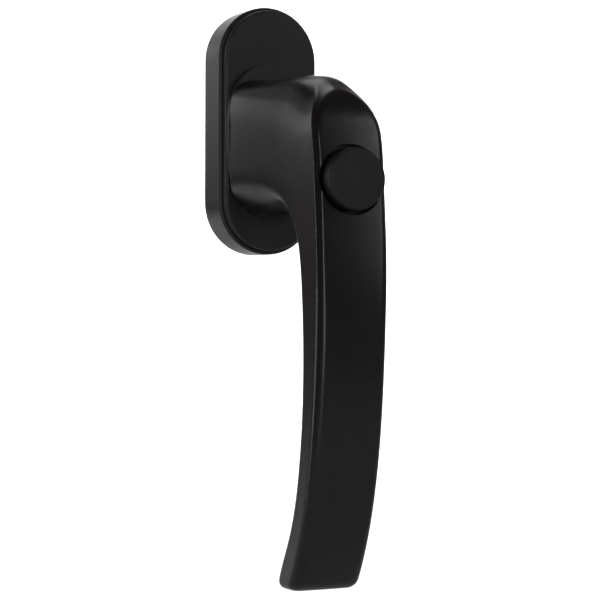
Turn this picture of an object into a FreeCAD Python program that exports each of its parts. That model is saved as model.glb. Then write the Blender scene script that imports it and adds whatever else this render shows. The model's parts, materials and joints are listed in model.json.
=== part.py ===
import FreeCAD, Part
import math
import os

# Push-button locking handle for a side-hung, tilt-and-turn window sash.
# Frame: origin on the mounting face where the spindle axis crosses it, +X right,
# +Y into the sash, +Z up.  All sizes in millimetres.

V = FreeCAD.Vector
doc = FreeCAD.newDocument("WindowHandle")

# ---------------------------------------------------------------- dimensions
SIZES = [
    # rosette
    ("rosette_width", 30.0), ("rosette_height", 70.0), ("base_thick", 10.2),
    ("base_edge_round", 0.7), ("cover_inset", 1.1), ("cover_gap", 0.05),
    ("cover_face", 12.4), ("cover_edge_round", 0.8),
    ("pivot_recess_radius", 12.35), ("pivot_recess_depth", 2.2),
    ("spigot_radius", 12.3), ("spigot_bore", 11.5), ("spigot_depth", 1.9),
    ("cavity_radius", 10.9), ("floor_thick", 2.0), ("spindle_clear_radius", 5.6),
    # fixing
    ("screw_pitch", 43.0), ("screw_hole_radius", 2.65), ("screw_radius", 2.5),
    ("shank_radius", 2.4), ("thread_start", 9.6), ("screw_reach", 27.0),
    ("head_radius", 4.7), ("head_sink", 0.4), ("head_height", 2.4),
    ("drive_length", 5.0), ("drive_width", 0.9), ("drive_depth", 1.6),
    ("lug_radius", 5.0), ("lug_length", 9.0), ("lug_chamfer", 0.6),
    # bearing and detent
    ("journal_radius", 6.5), ("bush_bore", 6.55), ("bush_back", 6.8), ("bush_front", 11.9),
    ("journal_end", 5.6), ("lock_radius", 8.8), ("keeper_hole_radius", 1.3),
    ("keeper_depth", 3.9),
    ("washer_outer", 7.4), ("washer_bore", 6.6), ("washer_thick", 0.45),
    ("clip_outer", 8.6), ("clip_bore", 5.95), ("clip_thick", 0.8), ("clip_back", 5.9),
    ("clip_gap", 4.0), ("groove_floor", 5.95), ("groove_width", 0.9),
    ("hub_across", 13.6), ("hub_corner_radius", 8.8), ("hub_back", 2.2), ("hub_front", 5.4),
    ("leaf_thick", 0.45), ("leaf_seat", 6.82), ("leaf_half", 7.6), ("leaf_bow", 0.4),
    ("leaf_back", 2.4), ("leaf_width", 2.8),
    ("spindle_side", 7.0), ("spindle_socket", 7.1), ("spindle_inner", 24.0),
    ("spindle_reach", 25.0), ("cross_pin_radius", 1.0), ("cross_pin_hole", 1.05),
    ("cross_pin_half", 6.3), ("cross_pin_depth", 9.2),
    # neck collar
    ("collar_half", 13.9), ("collar_up", 18.4), ("collar_down", 24.6),
    ("collar_back", 12.45), ("collar_front", 14.5), ("collar_bore", 6.6),
    # push button and lock
    ("button_axis", 16.5), ("button_radius", 8.2), ("button_face", 65.5),
    ("button_back", 53.5), ("button_wall", 1.5), ("button_crown", 2.5),
    ("button_edge_round", 1.0), ("button_boss_radius", 3.4), ("button_boss_length", 3.0),
    ("bore_radius", 9.3), ("bore_floor", 49.0), ("sleeve_bore", 8.27), ("sleeve_outer", 9.25),
    ("sleeve_front", 58.5), ("rod_radius", 2.5), ("rod_bore", 2.55), ("rod_front", 61.0),
    ("rod_back", 19.0), ("arm_front", 23.0), ("arm_half", 1.5), ("arm_low", 19.0),
    ("arm_high", 7.6), ("slot_half", 1.7), ("slot_front", 23.1), ("slot_low", 19.4),
    ("slot_high", 7.2), ("pin_radius", 1.0), ("pin_hole", 1.3), ("pin_tip", 12.2),
    ("coil_radius", 4.4), ("wire_radius", 0.4), ("coil_pitch", 2.2),
    ("coil_front", 62.5), ("coil_back", 49.5),
    # handle
    ("grip_half", 10.3), ("arch_centre", 5.0), ("front_crown", 0.3),
    ("grip_end_round", 2.4),
]

sheet = doc.addObject("Spreadsheet::Sheet", "Dims")
for row, (alias, value) in enumerate(SIZES, start=1):
    sheet.set(f"A{row}", alias)
    sheet.set(f"B{row}", str(value))
    sheet.setAlias(f"B{row}", alias)
doc.recompute()


def dim(alias):
    return float(getattr(sheet, alias))


# ------------------------------------------------------------------- helpers
def bind(obj, **formulas):
    """Tie properties to spreadsheet cells; formulas name cells as {alias}."""
    for prop, formula in formulas.items():
        path = prop.replace("__", ".")
        obj.setExpression(path, formula.replace("{", "Dims.").replace("}", ""))
    return obj


def place(obj, x="0", y="0", z="0", turn=None):
    if turn is not None:
        obj.Placement.Rotation = turn
    return bind(obj, Placement__Base__x=x, Placement__Base__y=y, Placement__Base__z=z)


ALONG_Y = FreeCAD.Rotation(V(1, 0, 0), -90)
ALONG_X = FreeCAD.Rotation(V(0, 1, 0), 90)


def rod(name, radius, length, y, x="0", z="0", turn=ALONG_Y):
    """Cylinder starting at y and running towards +Y."""
    obj = doc.addObject("Part::Cylinder", name)
    bind(obj, Radius=radius, Height=length)
    return place(obj, x, y, z, turn)


def cone(name, front_radius, back_radius, length, y, z="0"):
    obj = doc.addObject("Part::Cone", name)
    bind(obj, Radius1=front_radius, Radius2=back_radius, Height=length)
    return place(obj, "0", y, z, ALONG_Y)


def block(name, size, corner):
    obj = doc.addObject("Part::Box", name)
    bind(obj, Length=size[0], Width=size[1], Height=size[2])
    return place(obj, *corner)


def fuse(name, shapes):
    obj = doc.addObject("Part::MultiFuse", name)
    obj.Shapes = shapes
    obj.Refine = True
    return obj


def cut(name, base, tool):
    obj = doc.addObject("Part::Cut", name)
    obj.Base = base
    obj.Tool = tool
    return obj


def common(name, one, other):
    obj = doc.addObject("Part::Common", name)
    obj.Base = one
    obj.Tool = other
    return obj


def rounded(name, base, radius, wanted, kind="Part::Fillet"):
    """Fillet or chamfer of the edges of base that wanted(edge) picks."""
    doc.recompute()
    obj = doc.addObject(kind, name)
    obj.Base = base
    picks = [i for i, edge in enumerate(base.Shape.Edges, start=1) if wanted(edge)]
    obj.Edges = [(i, radius, radius) for i in picks]
    return obj


def solid_from(name, shape, base=V(0, 0, 0), turn=FreeCAD.Rotation()):
    """A shape worked out from spreadsheet values at the origin, then placed."""
    obj = doc.addObject("Part::Feature", name)
    obj.Shape = shape
    obj.Placement = FreeCAD.Placement(base, turn)
    return obj


def stadium(name, width, height, depth, y):
    """Upright slab with half-round ends, standing from y towards +Y."""
    bar = block(name + "_bar", (width, depth, f"{height} - {width}"),
                (f"-({width}) / 2", y, f"-({height} - {width}) / 2"))
    ends = [
        rod(f"{name}_end{i}", f"({width}) / 2", depth, y, z=f"{sign}({height} - {width}) / 2")
        for i, sign in enumerate(("", "-"))
    ]
    return fuse(name + "_slab", [bar] + ends)


def on_plane(edge, y, tol=1e-4):
    box = edge.BoundBox
    return abs(box.YMin - y) < tol and abs(box.YMax - y) < tol


# ------------------------------------------------------------- rosette base
def rosette_base():
    slab = stadium("base", "{rosette_width}", "{rosette_height}", "{base_thick}", "-{base_thick}")
    front = -dim("base_thick")
    slab = rounded("base_rounded", slab, dim("base_edge_round"), lambda e: on_plane(e, front))
    lugs, holes = [], []
    for tag, sign in (("upper", ""), ("lower", "-")):
        z = f"{sign}{{screw_pitch}} / 2"
        lugs.append(rod(f"lug_{tag}", "{lug_radius}", "{lug_length} + 1", "-1", z=z))
        holes.append(rod(f"screw_hole_{tag}", "{screw_hole_radius}",
                         "{base_thick} + {lug_length} + 2", "-{base_thick} - 1", z=z))
        holes.append(rod(f"head_well_{tag}", "{head_radius} + 0.15", "{head_sink}",
                         "-{base_thick}", z=z))
        holes.append(cone(f"head_seat_{tag}", "{head_radius} + 0.15",
                          "{screw_hole_radius}", "{head_height}",
                          "-{base_thick} + {head_sink}", z=z))
    solid = fuse("base_with_lugs", [slab] + lugs)
    end = dim("lug_length")
    solid = rounded("base_lug_chamfers", solid, dim("lug_chamfer"), lambda e: on_plane(e, end),
                    "Part::Chamfer")
    holes.append(rod("pivot_recess", "{pivot_recess_radius}", "{pivot_recess_depth} + 1",
                     "-{base_thick} - 1"))
    holes.append(rod("mechanism_cavity", "{cavity_radius}", "{base_thick} - {floor_thick}",
                     "-{base_thick}"))
    holes.append(rod("spindle_clearance", "{spindle_clear_radius}", "{floor_thick} + 2",
                     "-{floor_thick} - 1"))
    return cut("rosette_base", solid, fuse("base_holes", holes))


# -------------------------------------------------------------- cover plate
def cover_plate():
    depth = "{cover_face} - {base_thick} - {cover_gap}"
    slab = stadium("cover", "({rosette_width} - 2 * {cover_inset})",
                   "({rosette_height} - 2 * {cover_inset})", depth, "-{cover_face}")
    front = -dim("cover_face")
    slab = rounded("cover_rounded", slab, dim("cover_edge_round"), lambda e: on_plane(e, front))
    spigot = rod("cover_spigot", "{spigot_radius}", "{spigot_depth} + {cover_gap} + 0.5",
                 "-{base_thick} - {cover_gap} - 0.5")
    solid = fuse("cover_with_spigot", [slab, spigot])
    bore = rod("cover_bore", "{spigot_bore}", "{cover_face}", "-{cover_face} - 1")
    return cut("cover_plate", solid, bore)


# ------------------------------------------------------------ fixing screws
def fixing_screw(tag, sign):
    z = f"{sign}{{screw_pitch}} / 2"
    top = "-{base_thick} + {head_sink}"
    head = cone(f"head_{tag}", "{head_radius}", "{shank_radius}", "{head_height} - 0.15", top, z=z)
    shank = rod(f"shank_{tag}", "{shank_radius}",
                "{thread_start} + {base_thick} - {head_sink} - 1", f"{top} + 1", z=z)
    thread = rod(f"thread_{tag}", "{screw_radius}", "{screw_reach} - {thread_start}",
                 "{thread_start}", z=z)
    body = fuse(f"screw_body_{tag}", [head, shank, thread])
    reach = dim("screw_reach")
    body = rounded(f"screw_point_{tag}", body, 1.0, lambda e: on_plane(e, reach), "Part::Chamfer")
    slots = [
        block(f"drive_a_{tag}", ("{drive_length}", "{drive_depth}", "{drive_width}"),
              ("-{drive_length} / 2", top, f"{z} - {{drive_width}} / 2")),
        block(f"drive_b_{tag}", ("{drive_width}", "{drive_depth}", "{drive_length}"),
              ("-{drive_width} / 2", top, f"{z} - {{drive_length}} / 2")),
    ]
    return cut(f"screw_{tag}", body, fuse(f"drive_{tag}", slots))


# ------------------------------------------------------ bearing and detent
def keeper_bush():
    """Fixed bearing for the handle; its front carries the four lock holes."""
    tube = rod("bush_tube", "{cavity_radius}", "{bush_front} - {bush_back}", "-{bush_front}")
    shoulder = rod("bush_bore_tool", "{bush_bore}", "{bush_front}", "-{bush_front} - 1")
    holes = [shoulder]
    for tag, x, z in (("a", "0", "-{lock_radius}"), ("b", "{lock_radius}", "0"),
                      ("c", "0", "{lock_radius}"), ("d", "-{lock_radius}", "0")):
        holes.append(rod(f"keeper_hole_{tag}", "{keeper_hole_radius}", "{keeper_depth}",
                         "-{bush_front}", x=x, z=z))
    return cut("keeper_bush", tube, fuse("bush_holes", holes))


def thrust_washer():
    ring = rod("washer_disc", "{washer_outer}", "{washer_thick}", "-{bush_front} - {washer_thick}")
    bore = rod("washer_hole", "{washer_bore}", "2", "-{bush_front} - 1")
    return cut("thrust_washer", ring, bore)


def retaining_clip():
    ring = rod("clip_disc", "{clip_outer}", "{clip_thick}", "-{clip_back} - {clip_thick}")
    tools = [
        rod("clip_hole", "{clip_bore}", "3", "-{clip_back} - 2"),
        block("clip_mouth", ("{clip_gap}", "3", "{clip_outer}"),
              ("-{clip_gap} / 2", "-{clip_back} - 2", "0")),
    ]
    return cut("retaining_clip", ring, fuse("clip_tools", tools))


def detent_hub():
    across = "{hub_across}"
    length = "{hub_front} - {hub_back}"
    square = block("hub_square", (across, length, across),
                   (f"-{across} / 2", "-{hub_front}", f"-{across} / 2"))
    corners = rod("hub_corners", "{hub_corner_radius}", length, "-{hub_front}")
    side = "{spindle_socket}"
    socket = block("hub_socket", (side, "{hub_front}", side),
                   (f"-{side} / 2", "-{hub_front} - 1", f"-{side} / 2"))
    return cut("detent_hub", common("hub_blank", square, corners), socket)


def leaf_spring(tag, sign):
    """Shallow bowed leaf pressing on a flat of the detent hub."""
    half, thick = dim("leaf_half"), dim("leaf_thick")
    bow, seat = dim("leaf_bow"), dim("leaf_seat")

    def arc(z):
        return Part.Arc(V(-half, 0, z + bow), V(0, 0, z), V(half, 0, z + bow)).toShape()

    low, high = arc(seat), arc(seat + thick)
    ends = [
        Part.LineSegment(V(x, 0, seat + bow), V(x, 0, seat + thick + bow)).toShape()
        for x in (-half, half)
    ]
    face = Part.Face(Part.Wire(Part.__sortEdges__([low, ends[1], high, ends[0]])))
    shape = face.extrude(V(0, -dim("leaf_width"), 0))
    turn = FreeCAD.Rotation(V(0, 1, 0), 0 if sign > 0 else 180)
    return solid_from(f"detent_leaf_{tag}", shape, V(0, -dim("leaf_back"), 0), turn)


def spindle():
    side = "{spindle_side}"
    bar = block("spindle_blank", (side, "{spindle_inner} + {spindle_reach}", side),
                (f"-{side} / 2", "-{spindle_inner}", f"-{side} / 2"))
    reach = dim("spindle_reach")
    bar = rounded("spindle_tip", bar, 0.8, lambda e: on_plane(e, reach), "Part::Chamfer")
    hole = rod("spindle_pin_hole", "{cross_pin_hole}", "2 * {spindle_side}", "-{cross_pin_depth}",
               x="-{spindle_side}", turn=ALONG_X)
    return cut("spindle", bar, hole)


def cross_pin():
    return rod("cross_pin", "{cross_pin_radius}", "2 * {cross_pin_half}", "-{cross_pin_depth}",
               x="-{cross_pin_half}", turn=ALONG_X)


# ---------------------------------------------------------------- neck collar
def collar_outline(steps=36):
    """Egg-shaped plate outline: squarer and longer below the spindle than above."""
    half, up, down = dim("collar_half"), dim("collar_up"), dim("collar_down")
    points = []
    for i in range(steps):
        angle = 2 * math.pi * i / steps
        c, s = math.cos(angle), math.sin(angle)
        power = 2.4 if s >= 0 else 2.8
        reach = up if s >= 0 else down
        x = half * math.copysign(abs(c) ** (2 / power), c)
        z = reach * math.copysign(abs(s) ** (2 / power), s)
        points.append(V(x, -dim("collar_front"), z))
    curve = Part.BSplineCurve()
    curve.interpolate(Points=points, PeriodicFlag=True)
    return Part.Wire(curve.toShape())


def neck_collar():
    thick = dim("collar_front") - dim("collar_back")
    plate = solid_from("collar_plate", Part.Face(collar_outline()).extrude(V(0, thick, 0)))
    tools = [
        rod("collar_hole", "{collar_bore}", "{collar_front}", "-{collar_front} - 1"),
        rod("collar_pin_hole", "{pin_hole}", "4", "-{collar_front} - 1", z="-{lock_radius}"),
    ]
    return cut("neck_collar", plate, fuse("collar_tools", tools))


# ---------------------------------------------------------------- handle body
# Stations along the L-shaped handle, from the neck's root to the grip's end:
# point (y, z) of the front face (above the arch along the neck), point (y, z) of the
# inner face, round of the front edges, round of the inner edges.
STATIONS = [
    ((-14.5, 16.2), (-14.5, -23.6), 3.0, 9.5),
    ((-21.0, 16.2), (-21.0, -23.3), 3.0, 9.0),
    ((-28.0, 16.2), (-27.5, -23.0), 3.0, 8.0),
    ((-35.0, 16.0), (-33.5, -22.8), 2.9, 6.6),
    ((-41.5, 15.2), (-38.6, -23.3), 2.6, 5.2),
    ((-47.4, 13.0), (-42.6, -25.0), 2.1, 4.2),
    ((-52.4, 9.5), (-45.8, -27.6), 1.6, 3.5),
    ((-56.4, 5.4), (-48.2, -30.6), 1.3, 3.1),
    ((-59.1, 0.4), (-49.9, -33.8), 1.2, 2.8),
    ((-60.8, -5.8), (-51.0, -37.3), 1.2, 2.6),
    ((-61.8, -13.0), (-51.7, -41.2), 1.3, 2.5),
    ((-62.6, -21.5), (-52.2, -45.6), 1.5, 2.5),
    ((-63.4, -31.5), (-52.5, -51.0), 2.0, 2.5),
    ((-63.9, -43.0), (-52.7, -57.5), 2.5, 2.5),
    ((-63.8, -55.0), (-52.6, -65.0), 2.8, 2.5),
    ((-63.1, -67.0), (-52.2, -73.5), 2.8, 2.5),
    ((-61.8, -79.0), (-51.3, -82.5), 2.6, 2.5),
    ((-59.9, -90.5), (-49.8, -92.0), 2.4, 2.5),
    ((-57.5, -101.0), (-47.6, -101.5), 2.4, 2.4),
    ((-54.8, -110.0), (-44.4, -110.0), 2.6, 2.3),
    ((-51.9, -117.5), (-40.4, -117.5), 2.9, 2.2),
    ((-49.4, -122.6), (-38.0, -122.6), 3.1, 2.2),
]
# Plan of the handle against depth: half-width, apex height of the arch over the
# neck and head, and the power of that arch (2 is an ellipse, 4 nearly square).
PLAN = [
    (14.5, 13.7, 13.95, 4.0), (21.0, 13.3, 13.25, 3.9), (28.0, 12.5, 12.85, 3.6),
    (35.0, 11.6, 12.75, 3.2), (41.0, 10.9, 12.6, 2.8), (46.0, 10.55, 11.9, 2.5),
    (50.0, 10.4, 10.5, 2.25), (53.0, 10.35, 9.3, 2.1), (57.0, 10.3, 8.6, 2.0),
    (62.0, 10.3, 8.4, 2.0), (68.0, 10.3, 8.3, 2.0),
]
# Hollow bevel round the front face: depth below the face, distance in from the side.
BEVEL = [
    (0.0, 1.85), (0.12, 1.45), (0.3, 1.15), (0.5, 0.98), (0.75, 0.78), (1.0, 0.5), (1.25, 0.16),
    (1.55, 0.03), (1.8, 0.0),
]
FLAT_POINTS, CORNER_POINTS, SIDE_POINTS, EDGE_POINTS = 5, 7, 18, 11


def smooth(value, start, stop):
    """0 before start, 1 after stop, easing between."""
    share = min(max((value - start) / (stop - start), 0.0), 1.0)
    return share * share * (3 - 2 * share)


def through(points, places=None):
    """Smooth curve that passes points[i] at parameter places[i], or at i."""
    curve = Part.BSplineCurve()
    curve.interpolate(Points=points, Parameters=places or [float(i) for i in range(len(points))])
    return curve


PLAN_CURVE = through([V(*row[1:]) for row in PLAN], [row[0] for row in PLAN])


def half_width(y, z, inset):
    """Half-width of the handle at a point of its side, the whole outline drawn in by inset."""
    plan = PLAN_CURVE.value(min(max(-y, PLAN[0][0]), PLAN[-1][0]))
    grip = dim("grip_half") - 0.0012 * max(-z - 45.0, 0.0)
    width = plan.x + (grip - plan.x) * smooth(-z, 14.0, 40.0) - inset
    centre = -dim("arch_centre") * smooth(-y, 14.5, 56.0)
    if z > centre:
        height = (z - centre) / (plan.y - centre - inset)
        width *= max(1 - height ** plan.z, 0.0) ** (1 / plan.z)
    return width


def edge_inset(depth, radius, bevel):
    """Distance in from the side at a depth below the front: hollow bevel mixed with a round."""
    hollow = 0.0
    for (d0, i0), (d1, i1) in zip(BEVEL, BEVEL[1:]):
        if d0 <= depth < d1:
            hollow = i0 + (i1 - i0) * (depth - d0) / (d1 - d0)
    rise = max(radius - depth, 0.0)
    return hollow * bevel + (radius - math.sqrt(radius * radius - rise * rise)) * (1 - bevel)


def front_drop(x):
    """How far the crowned front face falls away at a distance from its middle."""
    return dim("front_crown") * (x / dim("grip_half")) ** 2


def low_corner(width_at, radius):
    """Points of the round corner between the side and the inner flat, from the side down."""
    def room(angle):
        return width_at(radius - radius * math.sin(angle), 0.0) - radius * math.cos(angle)

    touch = min((math.radians(i) for i in range(0, 90)), key=room)
    x = room(touch)
    angles = [touch + (math.pi / 2 - touch) * i / (CORNER_POINTS - 1)
              for i in range(CORNER_POINTS)]
    return [(x + radius * math.cos(a), radius - radius * math.sin(a)) for a in angles]


def upper_line(low, length, width_at, radius, bevel, slant):
    """Fine outline from the side over the edge to the middle of the front, and its two marks."""
    def depth_at(v):
        return (length - v) * slant - front_drop(width_at(v, 0.0))

    def x_at(v):
        return width_at(v, edge_inset(max(depth_at(v), 0.0), radius, bevel))

    stop, beyond = low, low
    while depth_at(beyond) >= 0 and x_at(beyond) > 0:
        stop, beyond = beyond, beyond + 0.25
    crease = depth_at(beyond) < 0
    for _ in range(30):
        middle = (stop + beyond) / 2
        inside = depth_at(middle) >= 0 and x_at(middle) > 0
        stop, beyond = (middle, beyond) if inside else (stop, middle)
    heights = [stop - (stop - low) * (1 - i / 240) ** 2.5 for i in range(241)]
    line = [(x_at(v), v) for v in heights]
    edge = len(line) - 1
    zone = 1.8 * bevel + radius * (1 - bevel)
    bend = next((i for i, v in enumerate(heights) if depth_at(v) < zone), edge)
    x, v = line[-1]
    for i in range(1, 31):
        across = x * (1 - i / 30)
        rise = (front_drop(x) - front_drop(across)) / slant if crease else 0.0
        line.append((across, v + rise))
    return line, bend, edge


def lengths_along(line):
    total = [0.0]
    for (x0, v0), (x1, v1) in zip(line, line[1:]):
        total.append(total[-1] + math.hypot(x1 - x0, v1 - v0))
    return total


def spaced(line, lengths, start, stop, count):
    """count points of the line, evenly spaced from start up to but not at stop."""
    picked, seg = [], 0
    for i in range(count):
        goal = start + (stop - start) * i / count
        while lengths[seg + 1] < goal:
            seg += 1
        share = (goal - lengths[seg]) / max(lengths[seg + 1] - lengths[seg], 1e-9)
        picked.append(tuple(p + (q - p) * share for p, q in zip(line[seg], line[seg + 1])))
    return picked


def half_outline(length, width_at, rounds, bevel, slant):
    """Right half of a section, from the middle of the inner flat to that of the front."""
    lower = low_corner(width_at, rounds[1])
    line, bend, edge = upper_line(lower[0][1], length, width_at, rounds[0], bevel, slant)
    lengths = lengths_along(line)
    total = lengths[-1]
    edge_at = min(lengths[edge], total - 1.0)
    bend_at = min(lengths[bend], edge_at - 1.4)
    points = [(lower[-1][0] * i / FLAT_POINTS, 0.0) for i in range(FLAT_POINTS)]
    points += lower[:0:-1]
    points += spaced(line, lengths, 0.0, bend_at, SIDE_POINTS)
    points += spaced(line, lengths, bend_at, edge_at, EDGE_POINTS)
    points += spaced(line, lengths, edge_at, total, FLAT_POINTS)
    return points + [line[-1]]


def section_row(outer, inner, normal, rounds, shrink, bevel):
    """Closed ring of surface poles in the plane through outer, inner and the X direction."""
    up = outer - inner
    length = up.Length - 2 * shrink
    up.normalize()
    base = inner + up * shrink

    def width_at(v, inset):
        spot = base + up * v
        return half_width(spot.y, spot.z, shrink + inset)

    rounds = [max(r - 0.8 * shrink, 0.35) for r in rounds]
    half = half_outline(length, width_at, rounds, bevel, up.dot(normal))
    ring = half + [(-x, v) for x, v in half[-2:0:-1]]
    return [base + up * v + V(x, 0, 0) for x, v in ring]


def row_places(last):
    """Section places along the handle: three to a station, seven where the arch closes."""
    places = []
    for i in range(last):
        count = 7 if 4 <= i <= 8 else 3
        places += [i + k / count for k in range(count)]
    return places + [float(last)]


def handle_rows():
    outer = through([V(0, *station[0]) for station in STATIONS])
    inner = through([V(0, *station[1]) for station in STATIONS])
    rounds = through([V(station[2], station[3], i) for i, station in enumerate(STATIONS)])
    last = len(STATIONS) - 1
    rows = []
    for u in row_places(last):
        r = rounds.value(u)
        along = outer.tangent(u)[0]
        normal = V(0, along.z, -along.y)
        bevel = 1 - smooth(u, 11.0, 14.0)
        rows.append(section_row(outer.value(u), inner.value(u), normal, (r.x, r.y), 0.0, bevel))
    radius = dim("grip_end_round")
    slope_out, slope_in = outer.tangent(last)[0], inner.tangent(last)[0]
    for i in range(1, 7):
        angle = math.radians(15 * i)
        drop = radius * math.sin(angle)
        inset = radius * (1 - math.cos(angle))
        foot_out = outer.value(last) + slope_out * (drop / -slope_out.z)
        foot_in = inner.value(last) + slope_in * (drop / -slope_in.z)
        rows.append(section_row(foot_out, foot_in, normal, (r.x, r.y), inset, 0.0))
    return rows


def clamped(count, degree=3):
    """Knots and multiplicities of an open uniform B-spline with count poles."""
    inside = count - degree - 1
    knots = [float(i) for i in range(inside + 2)]
    return knots, [degree + 1] + [1] * inside + [degree + 1]


def handle_blank():
    """Skin of the handle in patches that meet along its edges, closed by two end faces."""
    rows = handle_rows()
    along, along_mults = clamped(len(rows))
    around = len(rows[0])
    surface = Part.BSplineSurface()
    surface.buildFromPolesMultsKnots(
        rows, along_mults, [1] * (around + 1), along, [float(i) for i in range(around + 1)],
        False, True, 3, 3)
    middle = rows[len(rows) // 2]
    corner = FLAT_POINTS + CORNER_POINTS - 1
    top = around // 2
    marks = [FLAT_POINTS, corner, top - FLAT_POINTS - EDGE_POINTS, top - FLAT_POINTS]
    marks = marks + [around - mark for mark in marks]
    cuts_v = sorted([0.0, float(around)] + [surface.parameter(middle[i])[1] for i in marks])
    cuts_u = [along[0]] + [along[-1] * i / 5 for i in range(1, 5)] + [along[-1]]
    faces = []
    for u0, u1 in zip(cuts_u, cuts_u[1:]):
        for v0, v1 in zip(cuts_v, cuts_v[1:]):
            patch = surface.copy()
            patch.segment(u0, u1, v0, v1)
            faces.append(patch.toShape())
    for u in (along[0], along[-1]):
        rim = [surface.uIso(u).toShape(v0, v1) for v0, v1 in zip(cuts_v, cuts_v[1:])]
        faces.append(Part.Face(Part.Wire(rim)))
    shell = Part.Shell(faces)
    shell.sewShape()
    solid = Part.Solid(shell)
    if solid.Volume < 0:
        solid.reverse()
    return solid_from("handle_blank", solid)


def handle_body():
    journal = rod("journal", "{journal_radius}", "{collar_front} + 1 - {journal_end}",
                  "-{collar_front} - 1")
    solid = fuse("handle_with_journal", [handle_blank(), journal])
    axis = "-{button_axis}"
    groove_ring = rod("groove_outer", "{journal_radius} + 2", "{groove_width}",
                      "-{clip_back} - {groove_width}")
    groove_core = rod("groove_core", "{groove_floor}", "4", "-{clip_back} - 2")
    side = "{spindle_socket}"
    tools = [
        cut("clip_groove", groove_ring, groove_core),
        block("spindle_hole", (side, "{spindle_inner} + 0.2", side),
              (f"-{side} / 2", "-{spindle_inner} - 0.2", f"-{side} / 2")),
        rod("journal_pin_hole", "{cross_pin_hole}", "4 * {cross_pin_half}",
            "-{cross_pin_depth}", x="-2 * {cross_pin_half}", turn=ALONG_X),
        rod("button_bore", "{bore_radius}", "20", "-{bore_floor} - 20", z=axis),
        rod("rod_bore_hole", "{rod_bore}", "{bore_floor} - {collar_front} - 4",
            "-{bore_floor} - 1", z=axis),
        block("arm_slot", ("2 * {slot_half}", "{slot_front} - {collar_front} + 1",
                           "{slot_low} - {slot_high}"),
              ("-{slot_half}", "-{slot_front}", "-{slot_low}")),
    ]
    return cut("handle_body", solid, fuse("handle_tools", tools))


# -------------------------------------------------------- push button and lock
def button_sleeve():
    tube = rod("sleeve_tube", "{sleeve_outer}", "{sleeve_front} - {bore_floor}",
               "-{sleeve_front}", z="-{button_axis}")
    bore = rod("sleeve_hole", "{sleeve_bore}", "20", "-{sleeve_front} - 1", z="-{button_axis}")
    return cut("button_sleeve", tube, bore)


def push_button():
    axis = "-{button_axis}"
    cup = rod("button_blank", "{button_radius}", "{button_face} - {button_back}",
              "-{button_face}", z=axis)
    face = -dim("button_face")
    cup = rounded("button_rounded", cup, dim("button_edge_round"), lambda e: on_plane(e, face))
    hollow = rod("button_hollow", "{button_radius} - {button_wall}", "20",
                 "-{button_face} + {button_crown}", z=axis)
    boss = rod("button_boss", "{button_boss_radius}", "{button_boss_length}",
               "-{button_face} + {button_crown} - 0.2", z=axis)
    hollow_cup = cut("button_cup", cup, hollow)
    socket = rod("button_socket", "{rod_radius}", "10", "-{rod_front}", z=axis)
    return cut("push_button", fuse("button_with_boss", [hollow_cup, boss]), socket)


def lock_rod():
    return rod("lock_rod", "{rod_radius}", "{rod_front} - {arm_front}", "-{rod_front}",
               z="-{button_axis}")


def lock_arm():
    plate = block("arm_plate", ("2 * {arm_half}", "{arm_front} - {rod_back}",
                                "{arm_low} - {arm_high}"),
                  ("-{arm_half}", "-{arm_front}", "-{arm_low}"))
    hole = rod("arm_pin_hole", "{pin_radius}", "10", "-{rod_back} - 2", z="-{lock_radius}")
    return cut("lock_arm", plate, hole)


def lock_pin():
    return rod("lock_pin", "{pin_radius}", "{rod_back} + 2 - {pin_tip}", "-{rod_back} - 2",
               z="-{lock_radius}")


def button_spring():
    length = dim("coil_front") - dim("coil_back") - 2 * dim("wire_radius")
    helix = Part.makeHelix(dim("coil_pitch"), length, dim("coil_radius"))
    wire = Part.Wire(helix.Edges)
    profile = Part.Wire(Part.makeCircle(dim("wire_radius"), V(dim("coil_radius"), 0, 0), V(0, 1, 0)))
    shape = wire.makePipeShell([profile], True, True)
    base = V(0, -dim("coil_front") + dim("wire_radius"), -dim("button_axis"))
    return solid_from("button_spring", shape, base, ALONG_Y)


# ------------------------------------------------------------------ assembly
SUB_PARTS = [
    rosette_base(),
    cover_plate(),
    fixing_screw("upper", ""),
    fixing_screw("lower", "-"),
    keeper_bush(),
    thrust_washer(),
    retaining_clip(),
    detent_hub(),
    leaf_spring("upper", 1),
    leaf_spring("lower", -1),
    spindle(),
    cross_pin(),
    neck_collar(),
    handle_body(),
    button_sleeve(),
    push_button(),
    lock_rod(),
    lock_arm(),
    lock_pin(),
    button_spring(),
]

doc.recompute()
for obj in doc.Objects:
    if "Invalid" in obj.State or "Error" in obj.State:
        raise RuntimeError(f"{obj.Name} did not recompute: {obj.State}")

os.makedirs("parts", exist_ok=True)
for obj in SUB_PARTS:
    obj.Label = obj.Name
    shape = obj.Shape
    if shape.isNull() or not shape.isValid() or shape.Volume <= 0:
        raise RuntimeError(f"{obj.Name} has no valid solid")
    shape.exportStep(f"parts/{obj.Name}.step")
    print(f"{obj.Name}: {len(shape.Solids)} solid, {shape.Volume:.1f} mm3")
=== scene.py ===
import json
import math

import bpy
from mathutils import Matrix, Vector


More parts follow.
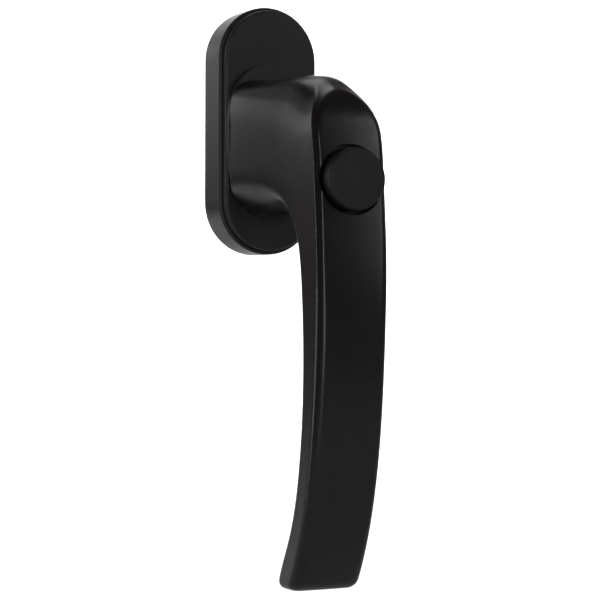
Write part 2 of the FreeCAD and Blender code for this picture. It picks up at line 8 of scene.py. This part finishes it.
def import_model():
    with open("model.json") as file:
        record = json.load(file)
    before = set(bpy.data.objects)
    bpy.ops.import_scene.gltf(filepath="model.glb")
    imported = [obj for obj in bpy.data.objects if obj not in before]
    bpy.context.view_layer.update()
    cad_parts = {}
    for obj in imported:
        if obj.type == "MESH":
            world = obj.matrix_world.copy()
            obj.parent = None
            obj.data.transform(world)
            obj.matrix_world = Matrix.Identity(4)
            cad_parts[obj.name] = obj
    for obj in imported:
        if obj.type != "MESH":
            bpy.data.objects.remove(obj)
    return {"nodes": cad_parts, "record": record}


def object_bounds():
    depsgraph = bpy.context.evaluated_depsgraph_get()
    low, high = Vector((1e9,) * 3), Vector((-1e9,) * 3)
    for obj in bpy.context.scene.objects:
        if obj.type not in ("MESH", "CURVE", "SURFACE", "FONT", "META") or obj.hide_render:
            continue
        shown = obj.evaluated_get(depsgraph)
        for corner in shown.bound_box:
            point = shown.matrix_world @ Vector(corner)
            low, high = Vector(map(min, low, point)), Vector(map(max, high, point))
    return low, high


# Black push-button window handle: finishes, studio and camera round the CAD frame.
# Metres throughout; colours are linear.

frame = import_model()
NODES = frame["nodes"]
cad_box = [list(v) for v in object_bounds()]
scene = bpy.context.scene
scene.view_settings.view_transform = "Standard"


# ------------------------------------------------------------------ materials
# Noise scales are per metre. Noise mostly lies between NOISE_LOW and NOISE_HIGH.
CLOUD_SCALE, GLOSS_SCALE, STREAK_SCALE = 60.0, 180.0, 400.0
NOISE_LOW, NOISE_HIGH = 0.3, 0.7
STREAK_LOW, STREAK_HIGH = 0.25, 0.75
STREAK_STRETCH = (1.0, 0.08, 1.0)
GRAIN_DETAIL, STREAK_DETAIL, STREAK_ROUGH = 3.0, 5.0, 0.6
STREAK_BUMP, STREAK_DEPTH = 0.2, 2e-5


def new_material(name):
    mat = bpy.data.materials.new(name)
    mat.use_nodes = True
    nodes, links = mat.node_tree.nodes, mat.node_tree.links
    return mat, nodes, links, nodes["Principled BSDF"]


def ramp(nodes, links, source, stops):
    """Colour ramp over source; stops are (place, colour)."""
    node = nodes.new("ShaderNodeValToRGB")
    for end, (place, colour) in zip(node.color_ramp.elements, stops):
        end.position = place
        end.color = (*colour, 1.0)
    links.new(source, node.inputs[0])
    return node.outputs[0]


def noise(nodes, links, scale, detail=4.0, rough=0.55, stretch=None):
    """Noise in the node's own space, drawn out along an axis by stretch."""
    coords = nodes.new("ShaderNodeTexCoord").outputs["Object"]
    if stretch:
        mapping = nodes.new("ShaderNodeMapping")
        mapping.inputs["Scale"].default_value = stretch
        links.new(coords, mapping.inputs["Vector"])
        coords = mapping.outputs["Vector"]
    tex = nodes.new("ShaderNodeTexNoise")
    tex.inputs["Scale"].default_value = scale
    tex.inputs["Detail"].default_value = detail
    tex.inputs["Roughness"].default_value = rough
    links.new(coords, tex.inputs["Vector"])
    return tex.outputs["Fac"]


def spread(nodes, links, source, low, high):
    """Noise stretched to run from low to high."""
    node = nodes.new("ShaderNodeMapRange")
    node.inputs["From Min"].default_value = NOISE_LOW
    node.inputs["From Max"].default_value = NOISE_HIGH
    node.inputs["To Min"].default_value = low
    node.inputs["To Max"].default_value = high
    links.new(source, node.inputs["Value"])
    return node.outputs["Result"]


def bump(nodes, links, shader, height, strength, distance):
    node = nodes.new("ShaderNodeBump")
    node.inputs["Strength"].default_value = strength
    node.inputs["Distance"].default_value = distance
    links.new(height, node.inputs["Height"])
    links.new(node.outputs["Normal"], shader.inputs["Normal"])


def coating(name, dark, light, rough, grain, specular=0.5, depth=2e-5, strength=0.25):
    """Powder coat or moulded plastic: mottled colour, fine grain, uneven gloss."""
    mat, nodes, links, shader = new_material(name)
    cloud = noise(nodes, links, CLOUD_SCALE)
    stops = [(NOISE_LOW, dark), (NOISE_HIGH, light)]
    links.new(ramp(nodes, links, cloud, stops), shader.inputs["Base Color"])
    fine = noise(nodes, links, grain, GRAIN_DETAIL)
    uneven = noise(nodes, links, GLOSS_SCALE)
    links.new(spread(nodes, links, uneven, *rough), shader.inputs["Roughness"])
    bump(nodes, links, shader, fine, strength, depth)
    shader.inputs["Specular IOR Level"].default_value = specular
    return mat


def plated(name, dark, light, rough):
    """Bare or plated metal with fine streaks along the spindle's direction."""
    mat, nodes, links, shader = new_material(name)
    streak = noise(nodes, links, STREAK_SCALE, STREAK_DETAIL, STREAK_ROUGH, STREAK_STRETCH)
    stops = [(STREAK_LOW, dark), (STREAK_HIGH, light)]
    links.new(ramp(nodes, links, streak, stops), shader.inputs["Base Color"])
    links.new(spread(nodes, links, streak, *rough), shader.inputs["Roughness"])
    bump(nodes, links, shader, streak, STREAK_BUMP, STREAK_DEPTH)
    shader.inputs["Metallic"].default_value = 1.0
    return mat


FINISH = {
    "black_handle": coating(
        "handle_black", (0.0072, 0.0069, 0.0069), (0.0082, 0.0078, 0.0078), (0.255, 0.275),
        grain=2600.0, specular=0.38, depth=1e-5, strength=0.10),
    "black_rosette": coating(
        "rosette_black", (0.0085, 0.0085, 0.0085), (0.0115, 0.0115, 0.0120), (0.33, 0.38),
        grain=1800.0, specular=0.45),
    "black_cover": coating(
        "cover_black", (0.0085, 0.0088, 0.0092), (0.012, 0.0124, 0.013), (0.42, 0.50),
        grain=1400.0, specular=0.42, depth=3e-5, strength=0.4),
    "black_trim": coating(
        "trim_black", (0.006, 0.006, 0.006), (0.010, 0.010, 0.010), (0.42, 0.55),
        grain=1500.0),
    "black_button": coating(
        "button_black", (0.0065, 0.0072, 0.0088), (0.009, 0.010, 0.012), (0.46, 0.54),
        grain=1600.0, specular=0.36, depth=3e-5, strength=0.4),
    "bearing_plastic": coating(
        "acetal", (0.70, 0.69, 0.64), (0.78, 0.77, 0.72), (0.30, 0.42), grain=900.0),
    "zinc_steel": plated("zinc_plate", (0.50, 0.50, 0.48), (0.66, 0.66, 0.64), (0.28, 0.42)),
    "spring_steel": plated(
        "spring_temper", (0.28, 0.28, 0.29), (0.42, 0.42, 0.43), (0.30, 0.45)),
    "bearing_metal": plated("raw_zinc", (0.38, 0.38, 0.39), (0.52, 0.52, 0.53), (0.38, 0.52)),
}

SLOT_OF = {row["node"]: row["material_slot"] for row in frame["record"]["subparts"]}
for node, obj in NODES.items():
    obj.data.materials.clear()
    obj.data.materials.append(FINISH[SLOT_OF[node]])


# --------------------------------------------------------------------- camera
CAMERA_PLACE = (-0.2331, -0.5106, -0.04815)
CAMERA_YAW, CAMERA_PITCH, CAMERA_ROLL = (math.radians(a) for a in (25.931, 0.041, -0.148))
LENS_MM, SENSOR_MM = 117.03, 36.0
CLIP_START, CLIP_END = 0.01, 20.0


def camera():
    """Long lens, nearly level, seeing the handle's left side and front."""
    data = bpy.data.cameras.new("camera")
    data.lens = LENS_MM
    data.sensor_width = SENSOR_MM
    data.clip_start, data.clip_end = CLIP_START, CLIP_END
    cam = bpy.data.objects.new("camera", data)
    scene.collection.objects.link(cam)
    look = Vector((math.sin(CAMERA_YAW) * math.cos(CAMERA_PITCH),
                   math.cos(CAMERA_YAW) * math.cos(CAMERA_PITCH), math.sin(CAMERA_PITCH)))
    turn = look.to_track_quat("-Z", "Y").to_matrix().to_4x4()
    cam.matrix_world = (Matrix.Translation(CAMERA_PLACE) @ turn
                        @ Matrix.Rotation(-CAMERA_ROLL, 4, "Z"))
    scene.camera = cam


# ------------------------------------------------------------ floor and light
FLOOR_DROP = 0.16           # floor below the lowest point of the handle
SWEEP_START, SWEEP_RADIUS = 1.1, 0.9
SWEEP_STEP, SWEEP_STEPS = 6, 15     # degrees, to a quarter circle
WALL_LEFT, FLOOR_LEFT, FLOOR_RIGHT = -0.1, -5.0, 4.0
FLOOR_NEAR, FLOOR_FAR, WALL_TOP = -3.0, 5.0, 5.0
FLOOR_SCALE, FLOOR_SHADE = 3.0, 0.985
FLOOR_COLOUR, FLOOR_ROUGH = (0.93, 0.93, 0.93), 0.8


def pale(name, colour, rough):
    mat, nodes, links, shader = new_material(name)
    cloud = noise(nodes, links, FLOOR_SCALE)
    stops = [(NOISE_LOW, tuple(c * FLOOR_SHADE for c in colour)), (NOISE_HIGH, colour)]
    links.new(ramp(nodes, links, cloud, stops), shader.inputs["Base Color"])
    shader.inputs["Roughness"].default_value = rough
    return mat


def floor():
    """Pale floor: flat all round, and rising in a sweep behind the handle on the right."""
    profile = [(FLOOR_NEAR, 0.0), (SWEEP_START, 0.0)]
    profile += [(SWEEP_START + SWEEP_RADIUS * math.sin(a), SWEEP_RADIUS * (1 - math.cos(a)))
                for a in (math.radians(SWEEP_STEP * i) for i in range(1, SWEEP_STEPS + 1))]
    profile.append((SWEEP_START + SWEEP_RADIUS, WALL_TOP))
    level = cad_box[0][2] - FLOOR_DROP
    verts = [(x, y, z + level) for y, z in profile for x in (WALL_LEFT, FLOOR_RIGHT)]
    faces = [(2 * i, 2 * i + 1, 2 * i + 3, 2 * i + 2) for i in range(len(profile) - 1)]
    last = len(verts)
    verts += [(FLOOR_LEFT, FLOOR_NEAR, level), (WALL_LEFT, FLOOR_NEAR, level),
              (WALL_LEFT, FLOOR_FAR, level), (FLOOR_LEFT, FLOOR_FAR, level)]
    faces.append((last, last + 1, last + 2, last + 3))
    mesh = bpy.data.meshes.new("floor")
    mesh.from_pydata(verts, [], faces)
    mesh.polygons.foreach_set("use_smooth", [True] * len(faces))
    mesh.materials.append(pale("floor_white", FLOOR_COLOUR, FLOOR_ROUGH))
    obj = bpy.data.objects.new("floor", mesh)
    scene.collection.objects.link(obj)


WORLD_COLOUR, WORLD_STRENGTH = (1.0, 0.87, 0.81, 1.0), 0.09


def world():
    """Dim warm surroundings, which the dark faces reflect."""
    sky = bpy.data.worlds.new("studio")
    sky.use_nodes = True
    background = sky.node_tree.nodes["Background"]
    background.inputs["Color"].default_value = WORLD_COLOUR
    background.inputs["Strength"].default_value = WORLD_STRENGTH
    scene.world = sky


def area(name, place, target, size, power, colour=(1.0, 1.0, 1.0)):
    data = bpy.data.lights.new(name, "AREA")
    data.shape = "RECTANGLE"
    data.size, data.size_y = size
    data.energy = power
    data.color = colour
    obj = bpy.data.objects.new(name, data)
    obj.location = place
    look = Vector(target) - Vector(place)
    obj.rotation_euler = look.to_track_quat("-Z", "Y").to_euler()
    scene.collection.objects.link(obj)


NECK, HEAD, GRIP = (-0.02, -0.03, 0.0), (0.0, -0.05, -0.02), (0.0, -0.06, -0.05)
COOL = (0.94, 0.96, 1.0)
# name, place, target, (width, height), watts, colour
LIGHTS = [
    ("left_back_upper", (-0.50, 0.95, 0.66), NECK, (0.9, 0.35), 0.25),
    ("left_back_panel", (-0.48, 0.98, 0.27), NECK, (0.9, 0.33), 0.85),
    ("left_back_floor_light", (-0.62, 0.85, 0.30), (-0.95, 1.75, -0.28), (0.5, 0.25), 1.8),
    ("left_strip", (-0.93, 0.33, 0.12), HEAD, (0.10, 0.8), 2.0),
    ("front_left_strip", (-0.36, -1.15, 0.12), HEAD, (0.06, 0.8), 2.6),
    ("top_back_softbox", (0.1, 0.5, 0.9), (0, -0.04, -0.04), (0.6, 0.4), 1.4),
    ("front_right_high", (0.85, -0.95, 0.7), GRIP, (0.3, 0.5), 1.3, COOL),
    ("front_right_panel", (0.72, -0.95, 0.25), GRIP, (0.2, 0.5), 0.75, COOL),
    ("backdrop_light", (0.75, 1.15, 0.75), (0.95, 1.9, 0.05), (1.8, 0.3), 32.0),
]

camera()
floor()
world()
for row in LIGHTS:
    area(*row)
